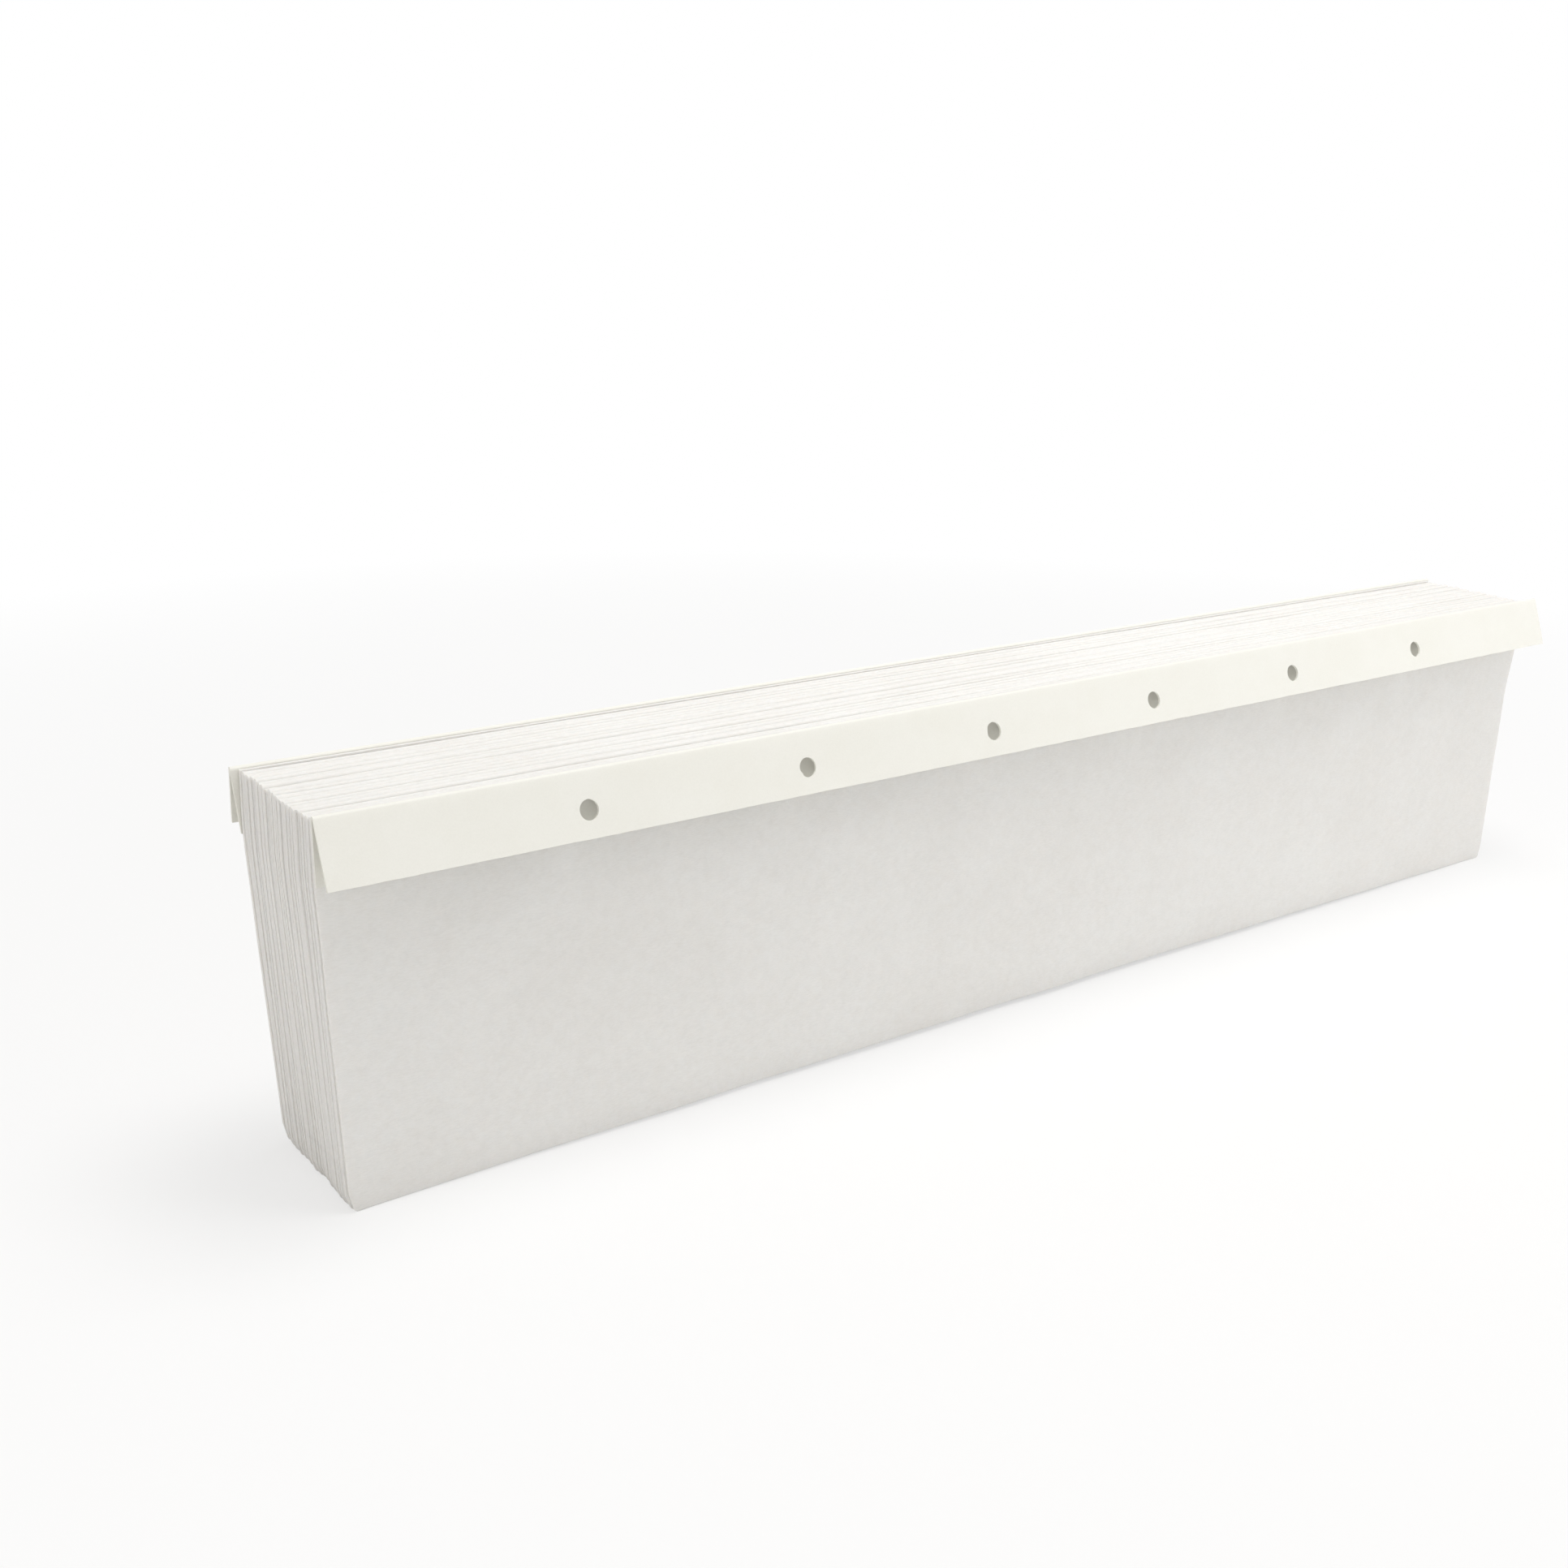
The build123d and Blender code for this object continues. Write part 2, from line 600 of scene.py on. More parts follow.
@dataclass(frozen=True)
class Handling:
    """How far cutting, folding and packing have moved the felt from its neat folds.

    Attributes:
        stagger: Share of each panel's own shift along X that its cut ends keep.
        left_flare: How far the left end reaches out at the strips.
        left_taper: How much of its length it loses from there to the floor.
        right_neck: How far the right end draws in below the strips.
        corner: Height of the rounded corners at the floor.
        corner_cut: How much those corners take off the length.
        fray_fine: Depth of the loose fibres at a cut end.
        fray_coarse: Depth of the waviness of a cut end.
        puff_peak: How far the outer panels puff out just below the strips.
        puff_even: How far they puff out all over.
        dent: Depth of the dents in the outer faces.
        gather: How far the crests lean together in bunches.
        stir: How far each layer wanders by itself.
        swell: Height of the slow waves of the crests.
        ripple: Height of their quick waves.
        sink: How far the crests sink on the whole.
        bow: How far the middle of the pack lifts off the floor.
    """

    stagger: float = 0.1
    left_flare: float = 4.0 * MM
    left_taper: float = 7.5 * MM
    right_neck: float = 4.5 * MM
    corner: float = 6 * MM
    corner_cut: float = 3.0 * MM
    fray_fine: float = 0.12 * MM
    fray_coarse: float = 0.7 * MM
    puff_peak: float = 1.5 * MM
    puff_even: float = 0.5 * MM
    dent: float = 0.5 * MM
    gather: float = 0.20 * MM
    stir: float = 0.10 * MM
    swell: float = 0.45 * MM
    ripple: float = 0.25 * MM
    sink: float = 0.2 * MM
    bow: float = 2.0 * MM


@dataclass(frozen=True)
class Stretch:
    """A stretch of the sheet: parts of two neighbouring panels and the fold that joins them.

    Attributes:
        first: Number of the panel nearer the front.
        fold: Which kind of fold joins the panels.
        low: Height where the first panel's part starts.
        high: Height where the second panel's part ends.
    """

    first: int
    fold: Fold
    low: float
    high: float


@dataclass(frozen=True)
class Places:
    """Where points of the sheet lie.

    Attributes:
        x: Place along the pleats.
        z: Height of the neat sheet.
        share: Place along the pleats, from -1 to 1.
        number: Panel number, which runs smoothly through the folds.
        depth: Place across the pack, from -1 at the front to 1 at the back.
    """

    x: Points
    z: Points
    share: Points
    number: Points
    depth: Points


@dataclass
class FoldedFelt:
    """The felt sheet: its neat folds first, then the unevenness that handling gives it.

    Attributes:
        sizes: The pack's sizes.
        material: The felt's finish.
        handling: How far handling has moved the felt.
        seam: Height where an upright fold meets the short foot below it.
        stations: Number of places along the pleats that the sheet is divided into.
        cell: Height of the cells of a straight stretch.
        arc_places: Number of places round a fold.
        crest_power: Fullness of a top fold's arc: 1 is a half circle, less is fuller.
        foot_clear: How far above the floor the pressed foot of a fold lies.
        fringe: Length over which a cut end rounds off into loose fibres.
        fringe_edge: Share of the thickness that is left at the very end.
        end_loft: Share of the pitch that the loosened felt fills at a cut end.
        groups: How many bunches the crests gather in, front to back.
    """

    sizes: PackSizes
    material: Material
    handling: Handling = Handling()
    seam: float = 16 * MM
    stations: int = 150
    cell: float = 7 * MM
    arc_places: int = 11
    crest_power: float = 0.75
    foot_clear: float = 0.03 * MM
    fringe: float = 0.35 * MM
    fringe_edge: float = 0.86
    end_loft: float = 0.97
    groups: int = 9
    wave: Unevenness = field(default_factory=lambda: Unevenness(3, 170 * MM, 90 * MM))
    layer_wave: Unevenness = field(default_factory=lambda: Unevenness(11, 90 * MM, 1.0))
    crest_wave: Unevenness = field(default_factory=lambda: Unevenness(23, 60 * MM, 1.0))
    end_wave: Unevenness = field(default_factory=lambda: Unevenness(31, 26 * MM, 1.0))
    dimple: Unevenness = field(default_factory=lambda: Unevenness(47, 34 * MM, 22 * MM))

    def along(self) -> Points:
        """Divide the sheet along the pleats.

        Returns:
            Shares of the half length from -1 to 1, closer together near the cut ends.
        """
        even = np.linspace(-1, 1, self.stations)
        spread = 0.72 * even + 0.28 * np.sin(even * math.pi / 2)
        fringe = self.fringe / self.sizes.half_top
        return np.concatenate([[-1, -1 + fringe], spread[1:-1], [1 - fringe, 1]])

    def upright(self, start: float, end: float) -> Points:
        """Heights of one straight stretch of a section, without its last point."""
        steps = max(3, round(abs(end - start) / self.cell))
        return start + (end - start) * np.linspace(0, 1, steps, endpoint=False)

    def section(self, stretch: Stretch) -> tuple[Points, Points, Points]:
        """Draw the centre line of a stretch of the sheet.

        Args:
            stretch: The stretch.

        Returns:
            Points (y, z), unit normals, and a panel number that runs smoothly through the fold.
        """
        fold, first = stretch.fold, stretch.first
        near, far = self.sizes.panel_y[first - 1], self.sizes.panel_y[first]
        axis, up = self.sizes.axis(fold), fold.value
        radius = (far - near) / 2
        turn = np.linspace(0, math.pi, self.arc_places)
        rise_share = np.sin(turn) ** (self.crest_power if fold is Fold.TOP else 1.0)
        arc = np.stack(
            [(near + far) / 2 - radius * np.cos(turn), axis + up * radius * rise_share], axis=-1
        )
        arc_normal = np.stack([-np.cos(turn), up * np.sin(turn)], axis=-1)
        rise, fall = self.upright(stretch.low, axis), self.upright(stretch.high, axis)[::-1]
        points = np.concatenate(
            [
                np.stack([np.full_like(rise, near), rise], axis=-1),
                arc,
                np.stack([np.full_like(fall, far), fall], axis=-1),
            ]
        )
        normals = np.concatenate(
            [np.tile([-1.0, 0.0], (len(rise), 1)), arc_normal, np.tile([1.0, 0.0], (len(fall), 1))]
        )
        share = (1 - np.cos(turn)) / 2
        panel = np.concatenate([np.zeros(len(rise)), share, np.ones(len(fall))]) + first
        return points, normals, panel

    def straight(self, stretch: Stretch) -> tuple[Points, Points]:
        """Build the neat folded sheet before it is handled.

        Args:
            stretch: The stretch of the sheet.

        Returns:
            Grid of points by station, place, skin and axis, and each place's panel number.
        """
        centre, normal, panel = self.section(stretch)
        shares = self.along()
        widest = self.end_loft * self.sizes.pitch / self.sizes.felt
        loft = 1 + (widest - 1) * ease(np.abs(shares), 0.98, 1.0)
        edge = (np.where(np.abs(shares) == 1, self.fringe_edge, 1.0) * loft)[:, None, None]
        grid = np.zeros((len(shares), len(centre), 2, 3))
        grid[..., 0] = (shares * self.sizes.half_top)[:, None, None]
        for skin, side in ((0, -1), (1, 1)):
            grid[:, :, skin, 1:] = centre[None] + side * edge * self.sizes.felt / 2 * normal[None]
        grid[..., 2] = np.maximum(grid[..., 2], self.foot_clear)
        return grid, panel

    def half_length(self, height: Points, left: Points) -> Points:
        """Half the felt's length at a height.

        The left end tapers slowly all the way down. The right end draws in just under the strips.

        Args:
            height: Height above the floor.
            left: 1 where the point lies towards the left end, 0 towards the right end.

        Returns:
            The distance from the middle of the pack to its cut end.
        """
        how, leg_foot = self.handling, self.sizes.leg_foot
        hang = 1 - np.clip(height / leg_foot, 0, 1)
        taper = how.left_flare - how.left_taper * hang
        neck = -how.right_neck * (1 - ease(height, leg_foot - 30 * MM, leg_foot + 6 * MM))
        ends = left * taper + (1 - left) * neck
        corner = np.clip(1 - height / how.corner, 0, 1)
        cut = how.corner_cut * (1 - np.sqrt(np.clip(1 - corner**2, 0, 1)))
        return self.sizes.half_top + ends - cut

    def frayed(self, share: Points, z: Points, number: Points) -> Points:
        """How far the cut ends wander outwards.

        Args:
            share: Place along the pleats, from -1 to 1.
            z: Height.
            number: Panel number.

        Returns:
            The way along X.
        """
        how = self.handling
        bunch = number * self.groups / self.sizes.count
        fine = how.fray_fine * self.end_wave.at(z, number)
        coarse = how.fray_coarse * self.end_wave.at(z / 5, bunch)
        return (fine + coarse) * ease(np.abs(share), 0.93, 1.0) * np.sign(share)

    def moved_across(self, y: Points, at: Places) -> Points:
        """Puff, dent and stir the layers.

        Args:
            y: Where the neat layers lie across the pack.
            at: Where the points lie otherwise.

        Returns:
            Where the handled layers lie across the pack.
        """
        how, leg_foot = self.handling, self.sizes.leg_foot
        outer = np.abs(at.depth)
        free = 1 - ease(at.z, leg_foot - 16 * MM, leg_foot + 1 * MM)
        middle = 1 - ease(np.abs(at.share), 0.86, 1.0)
        puff = how.puff_peak * bell(at.z, leg_foot - 30 * MM, 34 * MM) + how.puff_even
        puff = puff * free * ease(at.z, 0, 18 * MM) * (0.25 + 0.75 * middle)
        bulge = at.depth * puff * (1 + 0.4 * self.wave.at(at.x, at.z))
        face = bell(outer, 1.0, 0.16)
        dents = how.dent * self.dimple.at(at.x, at.z) * face * at.depth * free * middle
        gather = how.gather * np.sin(math.pi * self.groups * (at.depth + 1))
        gather = gather * ease(at.z, 20 * MM, 120 * MM)
        stir = how.stir * self.layer_wave.at(at.x, at.number / 3) * ease(at.z, 0, 12 * MM)
        return y + bulge + dents + (gather + stir) * (1 - ease(outer, 0.9, 1.0))

    def moved_up(self, at: Places) -> Points:
        """Make the crests uneven and bow the foot.

        Args:
            at: Where the points of the neat sheet lie.

        Returns:
            Their heights in the handled sheet.
        """
        how, top = self.handling, self.sizes.felt_top
        slow = how.swell * self.crest_wave.at(at.x / 3, at.number)
        quick = how.ripple * self.crest_wave.at(at.x, at.number)
        inner = 1 - ease(np.abs(at.depth), 0.96, 1.0)
        crests = at.z + ease(at.z, top - 26 * MM, top) * (slow + quick - how.sink) * inner
        return crests + how.bow * (1 - at.share**2) * (1 - ease(at.z, 0, 60 * MM))

    def handled(self, grid: Points, panel: Points) -> Points:
        """Give the neat sheet the unevenness of felt that has been cut, folded and packed.

        Args:
            grid: Points of the neat sheet.
            panel: Panel number of each place along the section.

        Returns:
            The points of the handled sheet.
        """
        sizes = self.sizes
        x, y, z = grid[..., 0], grid[..., 1], grid[..., 2]
        number = np.broadcast_to(panel[None, :, None], x.shape)
        depth = (number - (sizes.count + 1) / 2) / ((sizes.count - 1) / 2)
        share = x / sizes.half_top
        shift = np.interp(panel, range(1, sizes.count + 1), sizes.panel_shift)[None, :, None]
        length = self.half_length(z, (share < 0).astype(float))
        new_x = share * length + self.handling.stagger * shift + self.frayed(share, z, number)
        at = Places(new_x, z, share, number, depth)
        return np.stack([new_x, self.moved_across(y, at), self.moved_up(at)], axis=-1)

    def piece(self, name: str, stretch: Stretch) -> Piece:
        """Build one folded stretch of the sheet.

        The sheet is built neat, where the fold is a clean line, and handled after that.

        Args:
            name: Name of the piece.
            stretch: The stretch of the sheet.

        Returns:
            The piece.
        """
        neat, panel = self.straight(stretch)
        made = sheet_mesh(name, neat)
        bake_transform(made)
        set_points(made, self.handled(neat, panel))
        dress(made, self.material)
        axis = self.sizes.axis(stretch.fold)
        LOG.info("%s: %d points", name, len(made.data.vertices))
        return made

    def build(self) -> None:
        """Build the whole sheet, front to back."""
        count, top, seam = self.sizes.count, self.sizes.felt_top, self.seam
        front = self.piece("felt_front_panel", Stretch(1, Fold.BOTTOM, top, seam))
        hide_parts(panel_node(1))
        back = self.piece("felt_back_panel", Stretch(count - 1, Fold.BOTTOM, seam, top))
        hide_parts(panel_node(count))
        for first in range(2, count - 1, 2):
            upright = self.piece(f"felt_fold_{first:02d}", Stretch(first, Fold.TOP, seam, seam))
            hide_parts(panel_node(first), panel_node(first + 1))
        for first in range(3, count - 1, 2):
            self.piece(f"felt_foot_{first:02d}", Stretch(first, Fold.BOTTOM, seam, seam))


# ---------------------------------------------------------------- the card strips


@dataclass(frozen=True)
class Bend:
    """The round crease of a strip, along the card's centre line.

    Attributes:
        radius: Its radius.
        turn: The angle that the card turns through.
        centre_z: Height of its centre, and of the end of the straight leg.
        leg: Length of the straight leg before it.
        flap_z: Height where the straight flap after it starts.
    """

    radius: float
    turn: float
    centre_z: float
    leg: float
    flap_z: float

    @property
    def length(self) -> float:
        """Length of card that it takes up."""
        return self.radius * self.turn


# How much shorter each strip's free edges are cut at their ends than its crease.
SKEWS = {End.FRONT: 0.3 * MM, End.BACK: 2.6 * MM}


@dataclass
class PunchedStrip:
    """A card strip: a flat blank with round peg holes, folded over at its crease.

    Attributes:
        end: Which long side of the pack the strip is on.
        material: The card's finish.
        skew: How much shorter each end is cut at the strip's free edges than at its crease.
        cell: Size of the blank's cells.
        wide: Length of the blank's cells between holes, in cells.
        hole_cells: Cells on each side of the square that a hole is cut from.
        burrs: Torn fibres left at the edge of some holes: hole number, angle and height.
        burr_spread: Width of such a fibre, in radians.
        sway: How far the flap's free edge waves in and out.
        ragged: Roughness of that edge.
    """

    end: End
    material: Material
    skew: float
    cell: float = 1.9 * MM
    wide: float = 2.6
    hole_cells: int = 6
    burrs: tuple[tuple[int, float, float], ...] = ((2, 2.6, 0.5 * MM), (3, 3.3, 0.45 * MM))
    burr_spread: float = 0.22
    sway: float = 0.5 * MM
    ragged: float = 0.12 * MM
    wave: Unevenness = field(default_factory=lambda: Unevenness(71, 120 * MM, 1.0))
    nick: Unevenness = field(default_factory=lambda: Unevenness(83, 5 * MM, 1.0))

    def __post_init__(self) -> None:
        """Read the strip's sizes and holes from the frame."""
        name = self.end.name.lower()
        self.leg_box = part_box(f"{name}_strip_leg")
        self.card = self.leg_box[1][1] - self.leg_box[0][1]
        joint = joint_named(f"{name}_crease")
        self.crease_y, self.crease_z = abs(joint["pos_m"][1]), joint["pos_m"][2]
        self.splay = -math.radians(joint["range_deg"][0])
        mounts = [m for m in frame["record"]["mounts"] if m["name"].startswith(f"{name}_peg_hole")]
        self.hole_x = [m["pos_m"][0] for m in mounts]
        self.hole_radius = mounts[0]["dims"]["r_mm"] * MM
        self.hole_z = mounts[0]["pos_m"][2]
        self.leg_y = abs(self.leg_box[0][1] + self.leg_box[1][1]) / 2
        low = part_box(f"{name}_strip_flap")[0][2]
        tip = self.crease_z - low - self.card / 2 * math.sin(self.splay)
        self.flap_length = tip / math.cos(self.splay)
        self.bend = self.measure_bend()

    def measure_bend(self) -> Bend:
        """Find the bend whose crest comes as high as the strip's.

        Returns:
            The bend.
        """
        rise = (self.crease_y - self.leg_y) / math.tan(self.splay)
        top = self.leg_box[1][2] - self.card / 2
        radius = (rise - (top - self.crease_z)) / (1 / math.tan(self.splay / 2) - 1)
        turn = math.pi - self.splay
        centre_z = top - radius
        leg = centre_z - self.leg_box[0][2]
        return Bend(radius, turn, centre_z, leg, centre_z + radius * math.sin(turn))

    def folded(self, along: Points, level: float) -> Points:
        """Fold places on the blank into the strip's shape.

        Args:
            along: Distance from the leg's lower edge across the blank.
            level: Distance from the card's centre line, positive on its outer face.

        Returns:
            Points (y, z) of the folded strip.
        """
        bend = self.bend
        angle = np.clip((along - bend.leg) / bend.radius, 0, bend.turn)
        down = np.maximum(along - bend.leg - bend.length, 0)
        reach = bend.radius + level
        out = self.leg_y + bend.radius - reach * np.cos(angle) + down * math.sin(self.splay)
        up = self.leg_box[0][2] + np.minimum(along, bend.leg)
        high = up + reach * np.sin(angle) - down * math.cos(self.splay)
        return np.stack([self.end.value * out, high], axis=-1)

    def flap_width(self) -> float:
        """Measure the straight flap.

        Returns:
            Its length across the blank, from the bend to its free edge.
        """
        bend = self.bend
        start_out = self.leg_y + bend.radius - bend.radius * math.cos(bend.turn)
        tip_out = self.crease_y + self.flap_length * math.sin(self.splay)
        tip_z = self.crease_z - self.flap_length * math.cos(self.splay)
        return math.hypot(tip_out - start_out, tip_z - bend.flap_z)

    def blank(self) -> tuple[Points, list[list[int]]]:
        """Cut and punch the flat blank.

        Returns:
            One layer of points (x, across) and the corner numbers of each face.
        """
        leg, flap_start = self.bend.leg, self.bend.leg + self.bend.length
        hole_v = flap_start + (self.bend.flap_z - self.hole_z) / math.cos(self.splay)
        size = self.hole_cells * self.cell
        rows = np.concatenate(
            [
                np.linspace(0, leg, 6, endpoint=False),
                np.linspace(leg, flap_start, 8, endpoint=False),
                np.linspace(flap_start, hole_v - size / 2, 4, endpoint=False),
                np.linspace(hole_v - size / 2, hole_v + size / 2, self.hole_cells, endpoint=False),
                np.linspace(hole_v + size / 2, flap_start + self.flap_width(), 5),
            ]
        )
        first_row = int(np.argmin(np.abs(rows - (hole_v - size / 2))))
        columns, starts, x = [], [], self.leg_box[0][0]
        for hole in self.hole_x:
            left, right = hole - size / 2, hole + size / 2
            steps = max(2, round((left - x) / (self.wide * self.cell)))
            columns += list(np.linspace(x, left, steps, endpoint=False))
            starts.append(len(columns))
            columns += list(np.linspace(left, right, self.hole_cells, endpoint=False))
            x = right
        high_x = self.leg_box[1][0]
        columns += list(np.linspace(x, high_x, round((high_x - x) / (self.wide * self.cell))))
        points = [(u, v) for u in columns for v in rows]
        wide = len(rows)
        cut = {
            (start + i, first_row + j)
            for start in starts
            for i in range(self.hole_cells)
            for j in range(self.hole_cells)
        }
        faces = [
            [i * wide + j, (i + 1) * wide + j, (i + 1) * wide + j + 1, i * wide + j + 1]
            for i in range(len(columns) - 1)
            for j in range(wide - 1)
            if (i, j) not in cut
        ]
        for number, (start, hole) in enumerate(zip(starts, self.hole_x), 1):
            faces += self.punch(points, number, start * wide + first_row, wide, (hole, hole_v))
        used = sorted({corner for face in faces for corner in face})
        renumber = {old: new for new, old in enumerate(used)}
        kept = np.array([points[old] for old in used])
        return kept, [[renumber[corner] for corner in face] for face in faces]

    def punch(
        self, points: list, number: int, corner: int, wide: int, centre: tuple[float, float]
    ) -> list[list[int]]:
        """Fill the square cut out round a hole with rings that end at the hole's edge.

        Args:
            points: The blank's points, which the rings' points are added to.
            number: Number of the hole, from 1.
            corner: Number of the square's first point.
            wide: Number of points in a column of the blank.
            centre: Middle of the hole on the blank.

        Returns:
            The rings' faces.
        """
        n = self.hole_cells
        rim = [corner + i * wide for i in range(n)]
        rim += [corner + n * wide + j for j in range(n)]
        rim += [corner + (n - i) * wide + n for i in range(n)]
        rim += [corner + n - j for j in range(n)]
        ring, faces = rim, []
        for share in (0.5, 0.85, 1.0):
            inner = []
            for place in rim:
                u, v = points[place][0] - centre[0], points[place][1] - centre[1]
                angle = math.atan2(v, u)
                edge = self.hole_radius
                for hole, burr_angle, height in self.burrs:
                    if hole == number:
                        apart = (angle - burr_angle + math.pi) % (2 * math.pi) - math.pi
                        edge -= height * math.exp(-((apart / self.burr_spread) ** 2))
                goal = (edge * math.cos(angle), edge * math.sin(angle))
                inner.append(len(points))
                points.append(
                    (
                        centre[0] + u + (goal[0] - u) * share,
                        centre[1] + v + (goal[1] - v) * share,
                    )
                )
            count = len(rim)
            faces += [
                [ring[k], ring[(k + 1) % count], inner[(k + 1) % count], inner[k]]
                for k in range(count)
            ]
            ring = inner
        return faces

    def shell(self, faces: list[list[int]], count: int) -> list[list[int]]:
        """Close two equal skins of the blank along its open edges.

        Args:
            faces: Faces of one skin.
            count: Number of points in one skin.

        Returns:
            The faces of the closed strip.
        """
        edges = dict.fromkeys((a, b) for face in faces for a, b in zip(face, face[1:] + face[:1]))
        closed = list(faces)
        closed += [[corner + count for corner in face[::-1]] for face in faces]
        closed += [[b, a, a + count, b + count] for a, b in edges if (b, a) not in edges]
        return [face[::-1] for face in closed] if self.end is End.FRONT else closed

    def handled(self, points: Points, across: Points) -> Points:
        """Cut the ends askew and let the flap wave.

        Args:
            points: Points of the neat strip.
            across: Where each of them lies across the blank.

        Returns:
            The points of the handled strip.
        """
        x, y, z = points.T.copy()
        side, leg, flap_start = self.end.value, self.bend.leg, self.bend.leg + self.bend.length
        flap = self.flap_width()
        half = (self.leg_box[1][0] - self.leg_box[0][0]) / 2
        share = (x - (self.leg_box[1][0] + self.leg_box[0][0]) / 2) / half
        from_crease = np.abs(across - leg) / leg
        x -= np.sign(share) * self.skew * from_crease * ease(np.abs(share), 0.9, 1.0)
        loose = ease(across, flap_start, flap_start + flap)
        sway = self.sway * self.wave.at(x, np.full(len(x), float(side)))
        ragged = self.ragged * self.nick.at(x, across * 0 + side)
        y += side * loose * sway * math.cos(self.splay)
        z += loose * sway * math.sin(self.splay)
        z += ease(across, flap_start + flap * 0.97, flap_start + flap) * ragged
        return np.column_stack([x, y, z])

    def build(self) -> Piece:
        """Fold the blank and dress it.

        Returns:
            The strip.
        """
        name, side = self.end.name.lower(), self.end.value
        flat, faces = self.blank()
        skins = [
            np.column_stack([flat[:, 0], self.folded(flat[:, 1], level)])
            for level in (self.card / 2, -self.card / 2)
        ]
        points = np.concatenate(skins)
        strip = mesh_object(f"{name}_card_strip", points, self.shell(faces, len(flat)))
        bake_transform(strip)
        set_points(strip, self.handled(points, np.tile(flat[:, 1], 2)))
        dress(strip, self.material)
        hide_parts(f"{name}_strip_leg", f"{name}_strip_flap")
        LOG.info("%s: %d points", strip.name, len(points))
        return strip


# ---------------------------------------------------------------- the glue


@dataclass
class GlueLine:
    """Two lines of hot glue between a leg and the felt, squeezed flat and uneven at their edges.

    Attributes:
        end: Which long side of the pack the glue is on.
        material: The glue's finish.
        width: Width of a line.
        stations: Number of places along a line.
        places: Number of places across it.
        blunt: How squarely a line ends: the higher, the blunter.
        end_width: Share of its width that a line keeps at its ends.
        end_depth: Share of its thickness that it keeps there.
        wander: Share of its width by which its edges wander.
    """

    end: End
    material: Material
    width: float = 5 * MM
    stations: int = 220
    places: int = 9
    blunt: int = 60
    end_width: float = 0.2
    end_depth: float = 0.3
    wander: float = 0.14
    edge: Unevenness = field(default_factory=lambda: Unevenness(91, 11 * MM, 1.0))

    def line(self, row: int, centre: float, low: Triple, high: Triple) -> Points:
        """Shape one line of glue.

        Args:
            row: Number of the line, from 0.
            centre: Height of its middle.
            low: Lower corner of the box that holds both lines.
            high: Upper corner of that box.

        Returns:
            Grid of points by station, place, skin and axis.
        """
        x = np.linspace(low[0], high[0], self.stations)
        along = 2 * (x - low[0]) / (high[0] - low[0]) - 1
        tip = np.sqrt(np.clip(1 - np.abs(along) ** self.blunt, 0, 1))
        across = np.linspace(-1, 1, self.places)
        uneven = 1 - self.wander + self.wander * self.edge.at(x, np.full_like(x, row))
        spread = self.width / 2 * uneven * (self.end_width + (1 - self.end_width) * tip)
        deep = (self.end_depth + (1 - self.end_depth) * tip)[:, None]
        thick = np.sqrt(1 - 0.96 * across**4)[None, :] * deep
        middle, half = (low[1] + high[1]) / 2, (high[1] - low[1]) / 2
        grid = np.zeros((self.stations, self.places, 2, 3))
        grid[..., 0] = x[:, None, None]
        grid[:, :, 0, 1] = middle - half * thick
        grid[:, :, 1, 1] = middle + half * thick
        grid[..., 2] = centre + (spread[:, None] * across[None])[:, :, None]
        return grid

    def build(self) -> Piece:
        """Build both lines as one piece.

        Returns:
            The piece.
        """
        name = self.end.name.lower()
        low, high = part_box(f"{name}_glue_lines")
        centres = (low[2] + self.width / 2, high[2] - self.width / 2)
        pieces = [
            sheet_mesh(f"{name}_glue_{row}", self.line(row, centre, low, high))
            for row, centre in enumerate(centres)
        ]
        joined = pieces[0]
        with bpy.context.temp_override(
            active_object=joined, selected_editable_objects=pieces, selected_objects=pieces
        ):
            bpy.ops.object.join()
        joined.name = f"{name}_glue"
        dress(joined, self.material)
        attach(joined, end_body(self.end))
        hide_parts(f"{name}_glue_lines")
        LOG.info("%s: %d points", joined.name, len(joined.data.vertices))
        return joined


# ---------------------------------------------------------------- the studio


@dataclass(frozen=True)
class SoftBox:
    """One soft square lamp.

    Attributes:
        name: Name of the lamp.
        place: Where it hangs.
        target: What it points at.
        size: Its side.
        power: Its power in watts.
        colour: Its colour.
    """

    name: str
    place: Triple
    target: Triple
    size: float
    power: float
    colour: Colour = (1.0, 1.0, 1.0)

    def hang(self) -> None:
        """Add the lamp to the scene."""
        lamp = bpy.data.lights.new(self.name, "AREA")
        lamp.shape = "SQUARE"
        lamp.size = self.size
        lamp.energy = self.power
        lamp.color = self.colour
        holder = bpy.data.objects.new(self.name, lamp)
        holder.location = self.place
        aim = Vector(self.target) - Vector(self.place)
        holder.rotation_euler = aim.to_track_quat("-Z", "Y").to_euler()
        bpy.context.scene.collection.objects.link(holder)


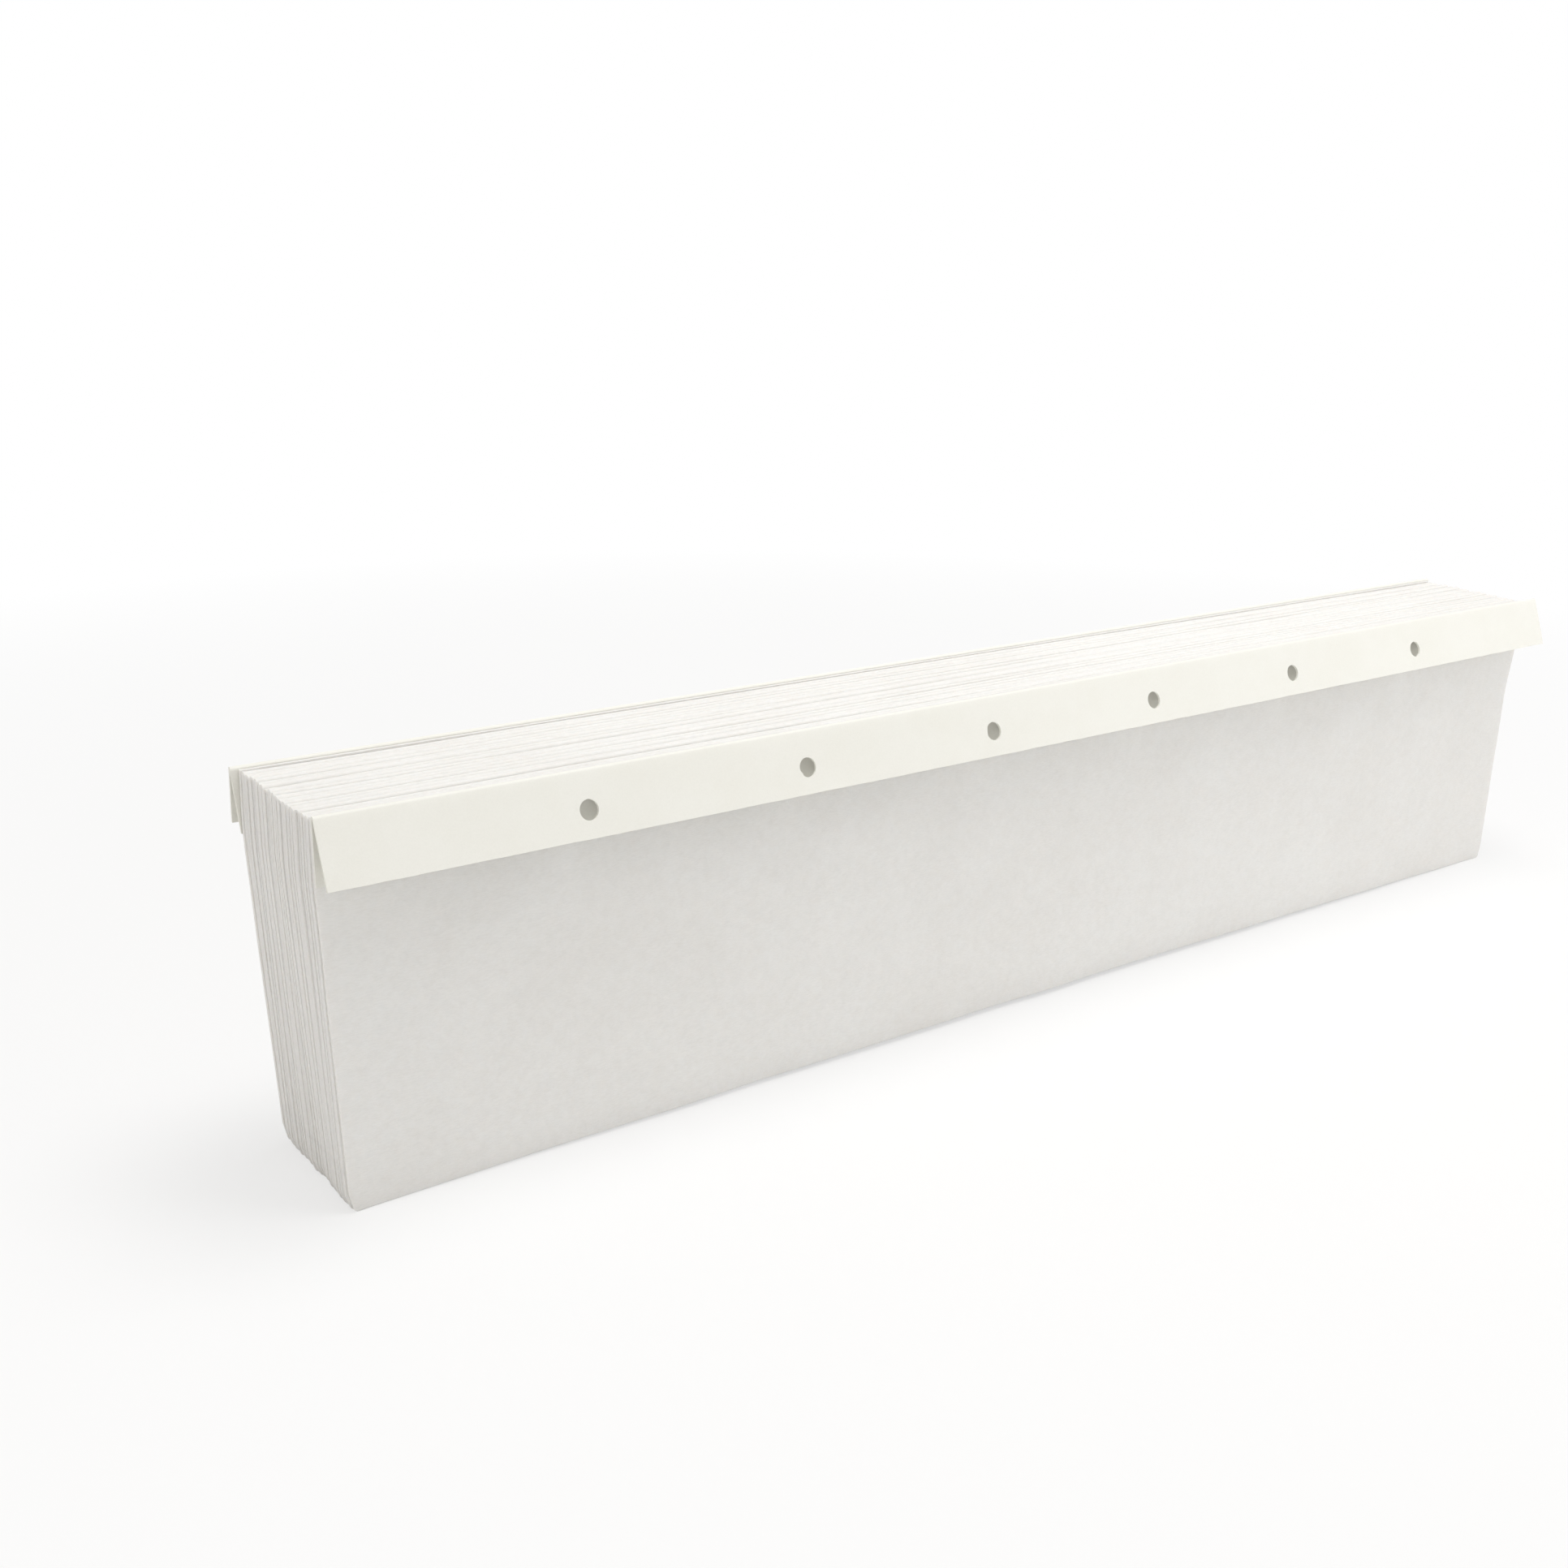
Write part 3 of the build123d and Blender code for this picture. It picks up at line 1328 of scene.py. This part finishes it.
@dataclass(frozen=True)
class Studio:
    """Floor, lamps, daylight and camera.

    Attributes:
        camera_place: Where the camera stands.
        view_direction: Where it looks.
        right: Direction of the picture's right-hand side, which sets the camera's slight roll.
        lens: Focal length in millimetres.
        sensor: Width of the sensor in millimetres.
        floor_half: Half the side of the floor.
        daylight_colour: Colour of the even light from all round.
        daylight_strength: Its strength.
    """

    camera_place: Triple = (-0.5574, -0.5636, 0.3453)
    view_direction: Triple = (0.5699, 0.7617, -0.3081)
    right: Triple = (0.8058, -0.5915, 0.0283)
    lens: float = 40.59
    sensor: float = 36.0
    floor_half: float = 9.0
    daylight_colour: Colour = (1.0, 0.98, 0.945)
    daylight_strength: float = 0.5

    def camera(self) -> None:
        """Stand the camera at its viewing angle."""
        data = bpy.data.cameras.new("camera")
        data.lens = self.lens
        data.sensor_width = self.sensor
        data.clip_end = 50.0
        holder = bpy.data.objects.new("camera", data)
        back = -Vector(self.view_direction).normalized()
        right = Vector(self.right)
        right = (right - right.dot(back) * back).normalized()
        up = back.cross(right)
        turn = Matrix((right, up, back)).transposed()
        holder.matrix_world = Matrix.Translation(self.camera_place) @ turn.to_4x4()
        bpy.context.scene.collection.objects.link(holder)
        bpy.context.scene.camera = holder

    def floor(self) -> None:
        """Lay the floor."""
        around = ((-1, -1, 0), (1, -1, 0), (1, 1, 0), (-1, 1, 0))
        points = self.floor_half * np.array(around)
        made = mesh_object("floor", points, [[0, 1, 2, 3]])
        made.data.materials.append(FloorFinish().material())

    def daylight(self) -> None:
        """Give the world its even light, which the camera sees as white."""
        world = bpy.data.worlds.new("daylight")
        bpy.context.scene.world = world
        world.use_nodes = True
        nodes, links = world.node_tree.nodes, world.node_tree.links
        nodes.clear()
        even = nodes.new("ShaderNodeBackground")
        even.inputs["Color"].default_value = (*self.daylight_colour, 1)
        even.inputs["Strength"].default_value = self.daylight_strength
        seen = nodes.new("ShaderNodeBackground")
        seen.inputs["Color"].default_value = (1, 1, 1, 1)
        seen.inputs["Strength"].default_value = 1.0
        mix = nodes.new("ShaderNodeMixShader")
        output = nodes.new("ShaderNodeOutputWorld")
        links.new(seen_directly(world.node_tree), mix.inputs["Fac"])
        links.new(even.outputs["Background"], mix.inputs[1])
        links.new(seen.outputs["Background"], mix.inputs[2])
        links.new(mix.outputs["Shader"], output.inputs["Surface"])

    def build(self) -> None:
        """Set up the whole studio."""
        self.camera()
        self.floor()
        self.daylight()
        lamps = (
            SoftBox("overhead", (0.15, -0.12, 1.5), (0, 0, 0.1), 0.8, 12.5),
            SoftBox("right_fill", (1.45, -1.3, 0.35), (0.15, 0, 0.07), 1.1, 11),
            SoftBox("left_fill", (-1.7, -0.2, 0.6), (-0.35, 0, 0.08), 1.0, 4, (1.0, 0.97, 0.93)),
        )
        for lamp in lamps:
            lamp.hang()
        bpy.context.scene.view_settings.view_transform = "Standard"


def main() -> None:
    """Dress the pack and set up its studio."""
    logging.basicConfig(level=logging.INFO, format="%(message)s")
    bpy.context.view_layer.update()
    Studio().build()
    sizes = measure_pack()
    FoldedFelt(sizes, FeltFinish().material()).build()
    card, glue = CardFinish().material(), GlueFinish().material()
    for end in End:
        PunchedStrip(end, card, SKEWS[end]).build()
        GlueLine(end, glue).build()


if __name__ == "__main__":
    main()
